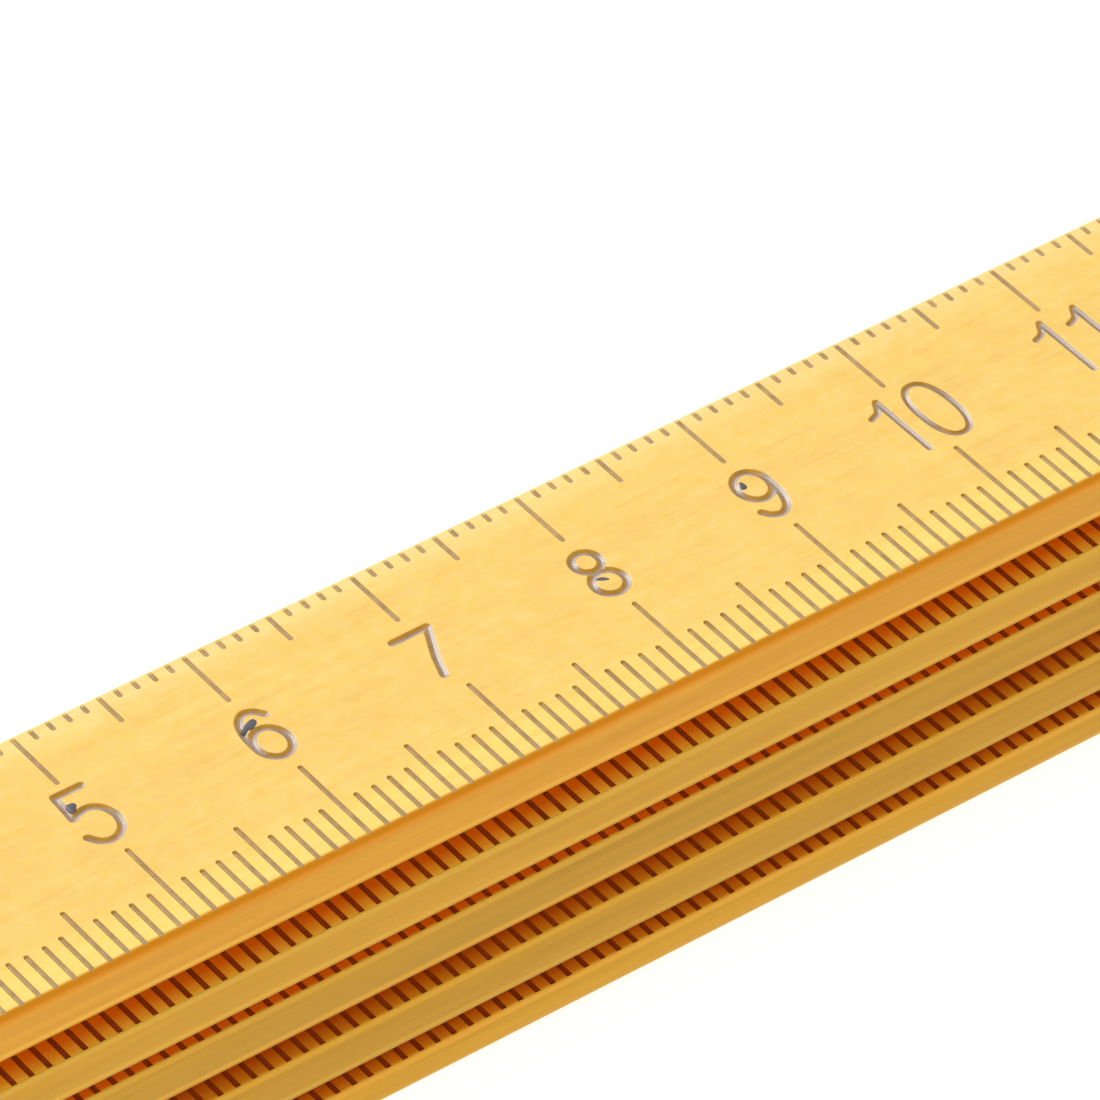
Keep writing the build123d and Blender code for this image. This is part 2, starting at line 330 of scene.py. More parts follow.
def leaf_outline(leaf):
    """Points round a leaf in plan, anticlockwise, with their outward normals."""
    ends = leaf_joint_ends(leaf)
    core = HALF_WIDTH - CORNER_RADIUS
    middle = LEAF_MIDDLE[leaf]

    def end_run(side):
        """Core points and normals along the +X end, from the near to the far corner."""
        near, far = middle - core, middle + core
        if side in ends:
            reach = END_RADIUS - CORNER_RADIUS
            first, last = math.asin(near / reach), math.asin(far / reach)
            run = []
            for a in np.linspace(first, last, ROUND_END_STEPS):
                normal = (math.cos(a), math.sin(a))
                run.append(((PIVOT_REACH + reach * normal[0], reach * normal[1]), normal))
        else:
            x = HALF_LENGTH - CORNER_RADIUS
            run = [((x, y), (1.0, 0.0)) for y in np.linspace(near, far, FLAT_END_STEPS)]
        for corner, sign in ((run[0], -1), (run[-1], 1)):
            angle = math.atan2(corner[1][1], corner[1][0])
            turn = [(corner[0], (math.cos(a), math.sin(a)))
                    for a in np.linspace(angle, sign * math.pi / 2, CORNER_STEPS)[1:]]
            run = turn[::-1] + run if sign < 0 else run + turn
        return run

    right = end_run(1)
    left = [((-x, y), (-nx, ny)) for (x, y), (nx, ny) in end_run(-1)][::-1]

    def side_run(start, end, normal):
        steps = np.linspace(0, 1, SIDE_STEPS)[1:-1]
        return [((start[0] + (end[0] - start[0]) * t, start[1]), normal) for t in steps]

    loop = right + side_run(right[-1][0], left[0][0], (0, 1)) + left
    loop += side_run(left[-1][0], right[0][0], (0, -1))
    core_points = np.array([c for c, _ in loop], float)
    normals = np.array([n for _, n in loop], float)
    return core_points + normals * CORNER_RADIUS, normals


def fillet_drop(inset, radius):
    """How far the surface has fallen at this distance inside the leaf's edge."""
    across = np.clip(radius - inset, 0, radius)
    return radius - np.sqrt(radius ** 2 - across ** 2)


class Mesh:
    """Vertices and faces in millimetres, collected before they become an object."""

    def __init__(self):
        self.vertices, self.faces = [], []

    def add(self, points):
        first = len(self.vertices)
        self.vertices.extend(tuple(map(float, p)) for p in points)
        return list(range(first, len(self.vertices)))

    def bridge(self, ring_a, ring_b, flip=False):
        """Faces between two closed rings of the same count."""
        n = len(ring_a)
        for i in range(n):
            j = (i + 1) % n
            quad = (ring_a[i], ring_a[j], ring_b[j], ring_b[i])
            self.faces.append(quad[::-1] if flip else quad)

    def stitch(self, ring_a, angles_a, ring_b, angles_b, flip=False):
        """Faces between two closed rings of any counts, each sorted by its angles."""
        na, nb = len(ring_a), len(ring_b)
        i = j = 0
        while i < na or j < nb:
            next_a = angles_a[i + 1] if i + 1 < na else angles_a[0] + 2 * math.pi
            next_b = angles_b[j + 1] if j + 1 < nb else angles_b[0] + 2 * math.pi
            a, b = ring_a[i % na], ring_b[j % nb]
            if j >= nb or (i < na and next_a <= next_b):
                tri = (a, ring_a[(i + 1) % na], b)
                i += 1
            else:
                tri = (a, ring_b[(j + 1) % nb], b)
                j += 1
            self.faces.append(tri[::-1] if flip else tri)

    def to_object(self, name, material):
        data = bpy.data.meshes.new(name)
        data.from_pydata([tuple(c * MM for c in v) for v in self.vertices], [], self.faces)
        data.validate()
        data.update()
        set_sharp(data)
        obj = bpy.data.objects.new(name, data)
        bpy.context.scene.collection.objects.link(obj)
        obj.data.materials.append(material)
        return obj


class Sheet:
    """One face of a leaf, triangulated, with its engraved marks and its holes."""

    def __init__(self, leaf, is_top, holes):
        self.turn = 1 if leaf % 2 == 1 else -1       # the odd leaves read towards +X
        self.flip = self.turn if is_top else -self.turn
        self.middle = LEAF_MIDDLE[leaf]
        is_outer = leaf == (1 if is_top else LEAVES)
        self.edge_radius = OUTER_EDGE if is_outer else INNER_EDGE
        self.is_top = is_top
        self.face_z = LEAF_TOP[leaf] if is_top else LEAF_BOTTOM[leaf]
        first = round((leaf - 1) * 2 * PIVOT_REACH)
        # every top face has its long ticks on the stack's near side, where the gaps show them
        self.marks = Marks(first, -self.flip if is_top else -1,
                           OUTER_TICK_WIDTH if is_outer else INNER_TICK_WIDTH,
                           OUTER_TICK_START if is_outer else INNER_TICK_START,
                           [(*self.to_reading(np.array([(x, y)]))[0], radius) for x, y, radius in holes])
        if is_top and leaf == 1:
            self.marks.figures += nick_strokes()
        outline, normals = leaf_outline(leaf)
        points, edges = [], []

        def add_line(line, closed):
            start = len(points)
            points.extend(line)
            ids = list(range(start, len(points)))
            edges.extend(zip(ids, ids[1:]))
            if closed:
                edges.append((ids[-1], ids[0]))

        for step in range(EDGE_STEPS + 1):
            inset = self.edge_radius * (1 - math.cos(math.pi / 2 * step / EDGE_STEPS))
            add_line(outline - normals * inset, True)
        add_line(outline - normals * (self.edge_radius + GUARD_RING), True)
        for x, y, radius in holes:
            angles = np.linspace(0, 2 * math.pi, HOLE_SIDES, endpoint=False)
            add_line([(x + radius * math.cos(a), y + radius * math.sin(a)) for a in angles], True)
        for line in self.marks.loops():
            add_line(self.to_plan(line), True)
        # 1 keeps only the triangles inside the outline
        found = delaunay_2d_cdt([Vector(p) for p in points], edges, [], 1, 1e-6, True)
        self.plan = np.array([tuple(p) for p in found[0]], float)
        triangles = np.array([tuple(t) for t in found[2]], int)
        rim = {}
        for i, sources in enumerate(found[3]):
            for source in sources:
                rim[source] = i
        self.rim = [rim[i] for i in range(len(outline))]
        centres = self.plan[triangles].mean(1)
        keep = np.ones(len(triangles), bool)
        for x, y, radius in holes:
            keep &= np.hypot(centres[:, 0] - x, centres[:, 1] - y) > radius * 0.999
        self.triangles = triangles[keep]
        self.outline = outline
        self.groove = self.marks.depth(self.to_reading(self.plan))
        self.depth = np.maximum(self.groove, fillet_drop(self.inset(self.plan), self.edge_radius))

    def to_plan(self, line):
        return np.stack([self.turn * (line[:, 0] - HALF_LENGTH), self.middle + self.flip * line[:, 1]], 1)

    def to_reading(self, plan):
        return np.stack([self.turn * plan[:, 0] + HALF_LENGTH, self.flip * (plan[:, 1] - self.middle)], 1)

    def inset(self, plan):
        """Distance inside the outline: true near the edge, and large well inside the leaf."""
        inset = np.full(len(plan), HALF_WIDTH)
        across = HALF_WIDTH - np.abs(plan[:, 1] - self.middle)
        along = HALF_LENGTH - np.abs(plan[:, 0])
        straight = along > END_RADIUS + END_MARGIN
        inset[straight] = across[straight]
        others = np.nonzero(~straight)[0]
        near_ends = self.outline[np.abs(self.outline[:, 0]) > HALF_LENGTH - END_RADIUS - 4 * END_MARGIN]
        for part in np.array_split(others, max(1, len(others) // POINTS_AT_ONCE)):
            for sign in (-1, 1):
                chosen = part[np.sign(plan[part, 0]) == sign]
                line = near_ends[np.sign(near_ends[:, 0]) == sign]
                steps = np.linalg.norm(np.diff(line, axis=0), axis=1)
                start = int(np.argmax(steps))
                if steps[start] > OUTLINE_BREAK:
                    line = np.vstack([line[start + 1:], line[:start + 1]])
                if len(chosen):
                    inset[chosen] = distance_to_line(plan[chosen], line)
        return inset

    def hole_ring(self, x, y, radius):
        """The sheet's vertices on a hole's rim and their angles, in order."""
        used = np.unique(self.triangles)
        away = np.abs(np.hypot(self.plan[used, 0] - x, self.plan[used, 1] - y) - radius)
        ring = used[away < ON_RIM]
        angles = np.arctan2(self.plan[ring, 1] - y, self.plan[ring, 0] - x)
        order = np.argsort(angles)
        return ring[order], angles[order]


# Holes as (radius, depth), from the face that holds the rivet's head.
PIVOT_HOLE = ((3.25, 0.0), (3.2, 0.05), (3.2, 0.75), (1.6, 0.75))
FIXING_HOLE = ((1.44, 0.0), (1.4, 0.04), (1.4, 0.55), (0.8, 0.55))
CAP_RIVET_HOLE = ((1.7, 0.0), (1.7, 0.205), (1.0, 0.38))
TURNING_PLAY = 0.05      # round a pivot rivet in the leaf that turns on it
FIXING_OFFSETS = (11.0, 18.0)                   # from the pivot
CAP_RIVET_INSET = 6.5    # from the leaf's end


def leaf_holes(leaf):
    """The rivet holes of a leaf, as (x, whether the head is on the top face, profile)."""
    holes = []
    for side, joint in leaf_joint_ends(leaf).items():
        is_upper = joint == leaf
        play = TURNING_PLAY if is_upper else 0.0
        holes.append((PIVOT_X[joint], is_upper, [(radius + play, depth) for radius, depth in PIVOT_HOLE]))
        for offset in FIXING_OFFSETS:
            holes.append((PIVOT_X[joint] - side * offset, is_upper, FIXING_HOLE))
    return holes


def make_leaf(leaf):
    """The leaf's closed mesh, without an object yet, and its sheets, keyed by whether they are on top."""
    top_z, bottom_z = LEAF_TOP[leaf], LEAF_BOTTOM[leaf]
    holes = leaf_holes(leaf)
    rivet_x = None
    if len(leaf_joint_ends(leaf)) == 1:
        free = -next(iter(leaf_joint_ends(leaf)))
        rivet_x = free * (HALF_LENGTH - CAP_RIVET_INSET)
    sheets = {}
    for is_top in (True, False):
        circles = [(x, 0.0, (profile[0] if outer_up == is_top else profile[-1])[0])
                   for x, outer_up, profile in holes]
        if rivet_x is not None:
            circles.append((rivet_x, 0.0, CAP_RIVET_HOLE[0][0]))
        sheets[is_top] = Sheet(leaf, is_top, circles)
    mesh = Mesh()
    ids = {}
    for is_top, sheet in sheets.items():
        z = top_z - sheet.depth if is_top else bottom_z + sheet.depth
        used = np.unique(sheet.triangles)
        number = np.full(len(sheet.plan), -1)
        number[used] = mesh.add(np.column_stack([sheet.plan[used], z[used]]))
        ids[is_top] = number
        faces = number[sheet.triangles]
        mesh.faces.extend(map(tuple, (faces if is_top else faces[:, ::-1]).tolist()))
    mesh.bridge([ids[False][i] for i in sheets[False].rim], [ids[True][i] for i in sheets[True].rim])

    def bore(x, top_profile, bottom_profile):
        rings = {}
        for is_top, profile in ((True, top_profile), (False, bottom_profile)):
            sheet = sheets[is_top]
            rim, angles = sheet.hole_ring(x, 0.0, profile[0][0])
            ring = [ids[is_top][i] for i in rim]
            for radius, depth in profile[1:]:
                z = top_z - depth if is_top else bottom_z + depth
                inner = mesh.add([(x + radius * math.cos(a), radius * math.sin(a), z) for a in angles])
                mesh.bridge(ring, inner, flip=is_top)
                ring = inner
            rings[is_top] = (ring, list(angles))
        mesh.stitch(rings[True][0], rings[True][1], rings[False][0], rings[False][1], flip=True)

    for x, outer_up, profile in holes:
        plain = [profile[-1]]
        bore(x, profile if outer_up else plain, plain if outer_up else profile)
    if rivet_x is not None:
        bore(rivet_x, CAP_RIVET_HOLE, CAP_RIVET_HOLE)
    return mesh, sheets


INK_LIFT = 0.006         # how far the ink stands on the wood, and how far it reaches into it
INK_SINK = 0.02
INKED_DEPTH = 0.016      # shallower parts of a groove stay bare
INK_BELOW_EDGE = 0.015   # how much deeper than the rounded edge a groove is where it holds ink


def make_ink(sheet):
    """Ink that lines the grooves of a face, as closed thin pieces."""
    mesh = Mesh()
    centres = sheet.plan[sheet.triangles].mean(1)
    groove = sheet.marks.depth(sheet.to_reading(centres))
    drop = fillet_drop(sheet.inset(centres), sheet.edge_radius)
    lowest = sheet.groove[sheet.triangles].min(1)
    chosen = sheet.triangles[(lowest > INKED_DEPTH) & (groove > drop + INK_BELOW_EDGE)]
    used = np.unique(chosen)
    number = np.full(len(sheet.plan), -1)
    number[used] = np.arange(len(used))
    faces = number[chosen]
    sign = -1 if sheet.is_top else 1
    z = sheet.face_z + sign * sheet.depth[used]
    outer = np.array(mesh.add(np.column_stack([sheet.plan[used], z - sign * INK_LIFT])))
    inner = np.array(mesh.add(np.column_stack([sheet.plan[used], z + sign * INK_SINK])))
    if not sheet.is_top:
        faces = faces[:, ::-1]
    mesh.faces.extend(map(tuple, outer[faces].tolist()))
    mesh.faces.extend(map(tuple, inner[faces[:, ::-1]].tolist()))
    sides = dict.fromkeys(edge for a, b, c in faces.tolist() for edge in ((a, b), (b, c), (c, a)))
    for a, b in sides:
        if (b, a) not in sides:
            mesh.faces.append((int(outer[b]), int(outer[a]), int(inner[a]), int(inner[b])))
    return mesh


# Dark spots beside the figures: reading, distance from the near edge, half sizes, turn in degrees.
DARK_SPOTS = ((49.54, 10.05, 0.36, 0.26, 60), (59.72, 9.80, 0.60, 0.25, 22), (79.84, 8.36, 0.34, 0.14, -32),
           (89.62, 9.84, 0.32, 0.19, 75))
SPOT_DOME = 0.03
SPOT_RIM = 0.004       # how far its rim lies below the face
SPOT_ROOT = 0.12       # how far it reaches down, so that it stands in the groove beside it
SPOT_SIDES = 28
SPOT_RINGS = (1.0, 0.8, 0.45)


def make_smudges(sheet):
    """Small dark domes on the face, as closed pieces."""
    mesh = Mesh()
    for reading, across, half_long, half_wide, turn in DARK_SPOTS:
        angles = np.linspace(0, 2 * math.pi, SPOT_SIDES, endpoint=False)
        wobble = 1 + 0.10 * np.sin(3 * angles + RNG.uniform(0, 6)) + RNG.normal(0, 0.03, SPOT_SIDES)
        c, s = math.cos(math.radians(turn)), math.sin(math.radians(turn))
        last = None
        for part in SPOT_RINGS:
            u = half_long * part * wobble * np.cos(angles)
            v = half_wide * part * wobble * np.sin(angles)
            points = np.stack([reading + u * c - v * s, across - HALF_WIDTH + u * s + v * c], 1)
            z = sheet.face_z + SPOT_DOME * (1 - part ** 2) - SPOT_RIM
            ring = mesh.add(np.column_stack([sheet.to_plan(points), np.full(SPOT_SIDES, z)]))
            if last is None:
                root_z = np.full(SPOT_SIDES, sheet.face_z - SPOT_ROOT)
                root = mesh.add(np.column_stack([sheet.to_plan(points), root_z]))
                mesh.bridge(root, ring)
                mesh.faces.append(tuple(root[::-1]))
            else:
                mesh.bridge(last, ring)
            last = ring
        mesh.faces.append(tuple(last))
    return mesh


# ---------------- materials
def nodes_of(name):
    material = bpy.data.materials.new(name)
    material.use_nodes = True
    tree = material.node_tree
    return material, tree, tree.nodes["Principled BSDF"]


def link(tree, a, out, b, into):
    tree.links.new(a.outputs[out], b.inputs[into])


def add_node(tree, kind, **values):
    node = tree.nodes.new(kind)
    for key, value in values.items():
        if key in node.inputs:
            node.inputs[key].default_value = value
        else:
            setattr(node, key, value)
    return node


def mapped(tree, scale):
    """Object coordinates with the given scale per millimetre."""
    where = add_node(tree, "ShaderNodeTexCoord")
    mapping = add_node(tree, "ShaderNodeMapping")
    mapping.inputs["Scale"].default_value = [s / MM for s in scale]
    link(tree, where, "Object", mapping, "Vector")
    return mapping


def noise(tree, scale, detail=3.0, roughness=0.55, distortion=0.0):
    mapping = mapped(tree, scale)
    texture = add_node(tree, "ShaderNodeTexNoise", Scale=1.0, Detail=detail, Roughness=roughness,
                       Distortion=distortion)
    link(tree, mapping, "Vector", texture, "Vector")
    return texture


def ramp(tree, source, out, stops):
    node = add_node(tree, "ShaderNodeValToRGB")
    elements = node.color_ramp.elements
    while len(elements) < len(stops):
        elements.new(0.5)
    for element, (place, colour) in zip(elements, stops):
        element.position = place
        element.color = (*colour, 1)
    link(tree, source, out, node, "Fac")
    return node


def mix(tree, factor, a, b, blend="MIX"):
    """Mixes two colours, each a tone or (node, output); factor is (node, output) or a number."""
    node = add_node(tree, "ShaderNodeMix", data_type="RGBA", blend_type=blend)
    if isinstance(factor, tuple):
        link(tree, factor[0], factor[1], node, 0)
    else:
        node.inputs[0].default_value = factor
    for socket, value in ((6, a), (7, b)):       # the node's two colours
        if hasattr(value[0], "outputs"):
            link(tree, value[0], value[1], node, socket)
        else:
            node.inputs[socket].default_value = (*value, 1)
    return node


def math_node(tree, operation, a, b=0.0):
    node = add_node(tree, "ShaderNodeMath", operation=operation)
    for socket, value in ((0, a), (1, b)):
        if isinstance(value, tuple):
            link(tree, value[0], value[1], node, socket)
        else:
            node.inputs[socket].default_value = value
    return node


def band(tree, source, none, full):
    """Rises from 0 where the source is at none to 1 where it is at full."""
    node = add_node(tree, "ShaderNodeMapRange")
    node.inputs["From Min"].default_value = none
    node.inputs["From Max"].default_value = full
    link(tree, source[0], source[1], node, "Value")
    return node


EDGE_BAND_REACH_TOP = 0.46    # how far the edge band reaches onto the face, on leaf 1 (wear) and on the others (painted highlight)
EDGE_BAND_REACH = 0.13


def lacquered_wood(leaf, face, rim, lip, under, side, arris, lower_arris):
    """Yellow lacquer over fine-grained wood, with other tones along its edges and on its lower face.

    Each tone is a linear colour: face and rim are the face's middle and its long edges, lip the
    very edge, and arris and lower_arris the bands above and below a side. On the faces inside the
    stack, rim and lip are painted shade of the gap over them, lighter again at the lip; under, on a
    lower face inside the stack, is painted shade of the gap below it. lower_arris is a painted
    highlight, and so is arris on every leaf but leaf 1, where it is wear.
    """
    material, tree, shader = nodes_of(f"lacquered_wood_{leaf}")
    where = add_node(tree, "ShaderNodeTexCoord")
    split = add_node(tree, "ShaderNodeSeparateXYZ")
    link(tree, where, "Object", split, "Vector")
    # distances in metres from the leaf's middle line and below its top face
    centred = math_node(tree, "SUBTRACT", (split, "Y"), LEAF_MIDDLE[leaf] * MM)
    across = math_node(tree, "ABSOLUTE", (centred, 0))
    below = math_node(tree, "SUBTRACT", LEAF_TOP[leaf] * MM, (split, "Z"))
    above = math_node(tree, "SUBTRACT", (split, "Z"), LEAF_BOTTOM[leaf] * MM)

    # long streaks along the grain, from broad to fine, and cloudiness across the lacquer
    broad = noise(tree, (0.02, 0.30, 0.30), detail=3)
    streak = noise(tree, (0.05, 1.6, 1.6), detail=4, roughness=0.6)
    fibre = noise(tree, (0.22, 7.0, 7.0), detail=3, roughness=0.65)
    mottle = noise(tree, (0.5, 0.5, 0.5), detail=4)

    face_tone = ramp(tree, mottle, "Fac", [(0.30, [c * 0.955 for c in face]), (0.52, face),
                                           (0.74, [min(1, c * k) for c, k in zip(face, (1.02, 1.05, 1.2))])])
    side_tone = ramp(tree, streak, "Fac", [(0.30, [c * 0.93 for c in side]), (0.52, side),
                                           (0.72, [min(1, c * 1.06) for c in side])])
    if leaf == 1:
        # the paler rim is a little wider on the near side, and fades away from it
        shifted = math_node(tree, "SUBTRACT", (centred, 0), 0.7 * MM)
        shifted = math_node(tree, "ABSOLUTE", (shifted, 0))
        outward = band(tree, (shifted, 0), 4.9 * MM, 6.9 * MM)
        faded = band(tree, (centred, 0), -2.0 * MM, 7.5 * MM)
        rim_tone = mix(tree, (faded, 0), rim, (rim[0], rim[1] * 1.03, rim[2] * 1.5))
    else:
        # on the faces inside the stack the rim is painted shade of the gap between the leaves, lighter again
        # at the lip, where the gap opens
        outward = band(tree, (across, 0), 5.0 * MM, 6.3 * MM)
        lipward = band(tree, (across, 0), (HALF_WIDTH - 1.15) * MM, (HALF_WIDTH - 0.1) * MM)
        rim_tone = mix(tree, (lipward, 0), rim, lip)
    face_tone = mix(tree, (outward, 0), (face_tone, "Color"), (rim_tone, 2))
    cloudy = noise(tree, (1.3, 1.9, 1.9), detail=4, roughness=0.65)
    clouds = ramp(tree, cloudy, "Fac", [(0.34, (0.99, 0.965, 0.86)), (0.50, (1, 1, 1)),
                                        (0.66, (1.01, 1.02, 1.16))])
    face_tone = mix(tree, 1.0, (face_tone, 2), (clouds, "Color"), "MULTIPLY")
    half_height = (LEAF_TOP[leaf] - LEAF_BOTTOM[leaf]) / 2 * MM
    # the lower face takes the under tone; below leaves 1 to 4 that is a red standing for painted shade of
    # the gap beneath
    is_under = band(tree, (below, 0), half_height - 0.3 * MM, half_height + 0.3 * MM)
    face_tone = mix(tree, (is_under, 0), (face_tone, 2), under)
    # the side's tone is on upright surfaces and at the very edge
    facing = add_node(tree, "ShaderNodeSeparateXYZ")
    link(tree, where, "Normal", facing, "Vector")
    upright = math_node(tree, "ABSOLUTE", (facing, "Z"))
    upright = band(tree, (upright, 0), 0.35, 0.15)
    on_side = band(tree, (across, 0), (HALF_WIDTH - 0.12) * MM, (HALF_WIDTH - 0.02) * MM)
    on_side = math_node(tree, "MAXIMUM", (on_side, 0), (upright, 0))
    tone = mix(tree, (on_side, 0), (face_tone, 2), (side_tone, "Color"))
    grain = ramp(tree, streak, "Fac", [(0.35, (0.93, 0.92, 0.90)), (0.6, (1.0, 1.0, 1.0))])
    tone = mix(tree, 0.55, (tone, 2), (grain, "Color"), "MULTIPLY")
    fine = ramp(tree, fibre, "Fac", [(0.36, (0.90, 0.87, 0.84)), (0.58, (1.0, 1.0, 1.0))])
    tone = mix(tree, 0.5, (tone, 2), (fine, "Color"), "MULTIPLY")
    slow = ramp(tree, broad, "Fac", [(0.35, (0.96, 0.95, 0.93)), (0.65, (1.02, 1.02, 1.02))])
    tone = mix(tree, 0.8, (tone, 2), (slow, "Color"), "MULTIPLY")

    # edge bands: near the long sides, and just below or above a face. The band below the top face, on
    # the near side, is wear on leaf 1 and a painted highlight on the other leaves; the band above the
    # bottom face is a painted highlight, with painted shade at the very bottom of the sides.
    ragged = math_node(tree, "MULTIPLY_ADD", (streak, "Fac"), 0.20 * MM)
    ragged.inputs[2].default_value = -0.10 * MM
    edge_reach = EDGE_BAND_REACH_TOP if leaf == 1 else EDGE_BAND_REACH
    near_edge = band(tree, (centred, 0), (edge_reach - HALF_WIDTH) * MM,
                     (edge_reach * 0.6 - HALF_WIDTH) * MM)
    near_side = band(tree, (across, 0), (HALF_WIDTH - 0.42) * MM, (HALF_WIDTH - 0.20) * MM)
    upper_depth = math_node(tree, "ADD", (below, 0), (ragged, 0))
    upper = band(tree, (upper_depth, 0), 0.52 * MM, 0.36 * MM)
    upper = math_node(tree, "MULTIPLY", (upper, 0), (near_edge, 0))
    lower_depth = math_node(tree, "ADD", (above, 0), (ragged, 0))
    lower = band(tree, (lower_depth, 0), 0.55 * MM, 0.22 * MM)
    lower = math_node(tree, "MULTIPLY", (lower, 0), (near_side, 0))
    # the band below the top face: wear on leaf 1, a painted highlight on the other leaves
    tone = mix(tree, (upper, 0), (tone, 2), arris)
    # a painted highlight along the bottom edge of the sides
    tone = mix(tree, (lower, 0), (tone, 2), lower_arris)
    # painted shade along the very bottom of the sides
    shade = band(tree, (above, 0), 0.32 * MM, 0.15 * MM)
    shade = math_node(tree, "MULTIPLY", (shade, 0), (near_side, 0))
    tone = mix(tree, (shade, 0), (tone, 2), [c * 0.82 for c in side])
    link(tree, tone, 2, shader, "Base Color")

    peel = noise(tree, (1.1, 1.3, 1.3), detail=2, roughness=0.5)
    rough = ramp(tree, peel, "Fac", [(0.3, (0.30, 0.30, 0.30)), (0.7, (0.42, 0.42, 0.42))])
    link(tree, rough, "Color", shader, "Roughness")
    heights = math_node(tree, "MULTIPLY_ADD", (fibre, "Fac"), 0.35)
    link(tree, peel, "Fac", heights, 2)
    bump = add_node(tree, "ShaderNodeBump", Strength=0.35, Distance=0.02 * MM)
    link(tree, heights, 0, bump, "Height")
    link(tree, bump, "Normal", shader, "Normal")
    shader.inputs["Specular IOR Level"].default_value = 0.18
    shader.inputs["Coat Weight"].default_value = 0.05
    shader.inputs["Coat Roughness"].default_value = 0.2
    return material


FIGURE_ZONE = (-1.60, 3.35)                     # across the leaf, between the rows of ticks
ZONE_BLUR = 0.10


def scale_ink(name, far_wall_shade, floor_tone, near_wall_highlight, figure_tone=None, flip=1):
    """Ink in the engraved marks, thin on the walls, with a tone for each way a groove's wall faces:
    the near wall faces the key light and takes a painted highlight, the far wall faces away from it
    and takes painted shade.

    figure_tone is the floor's tone between the two rows of ticks; flip is -1 on an underside.
    """
    material, tree, shader = nodes_of(name)
    where = add_node(tree, "ShaderNodeTexCoord")
    facing = add_node(tree, "ShaderNodeSeparateXYZ")
    link(tree, where, "Normal", facing, "Vector")
    blotch = noise(tree, (1.6, 1.6, 1.6), detail=4)
    patches = ramp(tree, blotch, "Fac", [(0.30, (0.80, 0.78, 0.74)), (0.52, (1, 1, 1)),
                                         (0.74, (1.16, 1.2, 1.28))])
    # walls facing +Y, towards the key light, get the painted highlight tone; walls facing -Y get painted
    # shade
    lit_wall_mask = band(tree, (facing, "Y"), 0.11, 0.36)
    shaded_wall_mask = band(tree, (facing, "Y"), -0.03, -0.22)
    if figure_tone:
        place = add_node(tree, "ShaderNodeSeparateXYZ")
        link(tree, where, "Object", place, "Vector")
        near, far = (edge * MM * flip for edge in FIGURE_ZONE)
        blur = ZONE_BLUR * MM * flip
        past_near = band(tree, (place, "Y"), near - blur, near + blur)
        past_far = band(tree, (place, "Y"), far + blur, far - blur)
        in_figures = math_node(tree, "MULTIPLY", (past_near, 0), (past_far, 0))
        floor_tone = (mix(tree, (in_figures, 0), floor_tone, figure_tone), 2)
    tone = mix(tree, (lit_wall_mask, 0), floor_tone, near_wall_highlight)
    tone = mix(tree, (shaded_wall_mask, 0), (tone, 2), far_wall_shade)
    tone = mix(tree, 0.9, (tone, 2), (patches, "Color"), "MULTIPLY")
    link(tree, tone, 2, shader, "Base Color")
    rough = ramp(tree, blotch, "Fac", [(0.3, (0.30, 0.30, 0.30)), (0.7, (0.44, 0.44, 0.44))])
    link(tree, rough, "Color", shader, "Roughness")
    shader.inputs["Coat Weight"].default_value = 0.18
    shader.inputs["Coat Roughness"].default_value = 0.2
    return material


def metal(name, light, dark, roughness):
    """Plated or bare sheet metal, brushed, with tarnish and scratches."""
    material, tree, shader = nodes_of(name)
    cloud = noise(tree, (0.35, 0.35, 0.35), detail=6, roughness=0.6, distortion=0.4)
    brushed = noise(tree, (0.25, 12.0, 12.0), detail=3)
    tone = ramp(tree, cloud, "Fac", [(0.28, dark), (0.50, light), (0.80, [min(1, c * 1.06) for c in light])])
    marks = ramp(tree, brushed, "Fac", [(0.35, (0.86, 0.86, 0.86)), (0.6, (1, 1, 1))])
    tone = mix(tree, 0.6, (tone, "Color"), (marks, "Color"), "MULTIPLY")
    link(tree, tone, 2, shader, "Base Color")
    shader.inputs["Metallic"].default_value = 1.0
    rough = ramp(tree, cloud, "Fac", [(0.25, (min(1, roughness * 1.5),) * 3), (0.65, (roughness,) * 3)])
    link(tree, rough, "Color", shader, "Roughness")
    bump = add_node(tree, "ShaderNodeBump", Strength=0.25, Distance=0.01 * MM)
    link(tree, brushed, "Fac", bump, "Height")
    link(tree, bump, "Normal", shader, "Normal")
    return material


# ink tones, as linear colours: the groove's far wall (painted shade), its floor, its near wall
# (painted highlight), the figures' floor
# the outer faces' ink is the lit copy, lightened by a painted sheen
LIT_INK_TONES = ((0.43, 0.205, 0.003), (0.44, 0.29, 0.12), (0.46, 0.35, 0.335), (0.31, 0.215, 0.14))
LIT_INK = {True: scale_ink("lit_ink_above", *LIT_INK_TONES),
            False: scale_ink("lit_ink_below", *LIT_INK_TONES, -1)}
# the faces inside the stack get the same ink darkened and reddened: painted shade of the gaps
SHADED_INK = scale_ink("shaded_ink", (0.24, 0.035, 0.002), (0.30, 0.048, 0.003), (0.34, 0.06, 0.005))
DARK_SPOT_TONE = scale_ink("dark_spot_tone", (0.08, 0.07, 0.08), (0.085, 0.075, 0.095), (0.12, 0.11, 0.14))
PLATE_METAL = metal("joint_sheet", (0.93, 0.66, 0.25), (0.74, 0.48, 0.15), 0.34)
SPRING_METAL = metal("spring_steel", (0.60, 0.61, 0.63), (0.34, 0.34, 0.37), 0.28)
RIVET_METAL = metal("brass_rivet", (0.95, 0.69, 0.27), (0.72, 0.47, 0.15), 0.30)
CAP_METAL = metal("cap_sheet", (0.95, 0.69, 0.27), (0.78, 0.52, 0.18), 0.34)

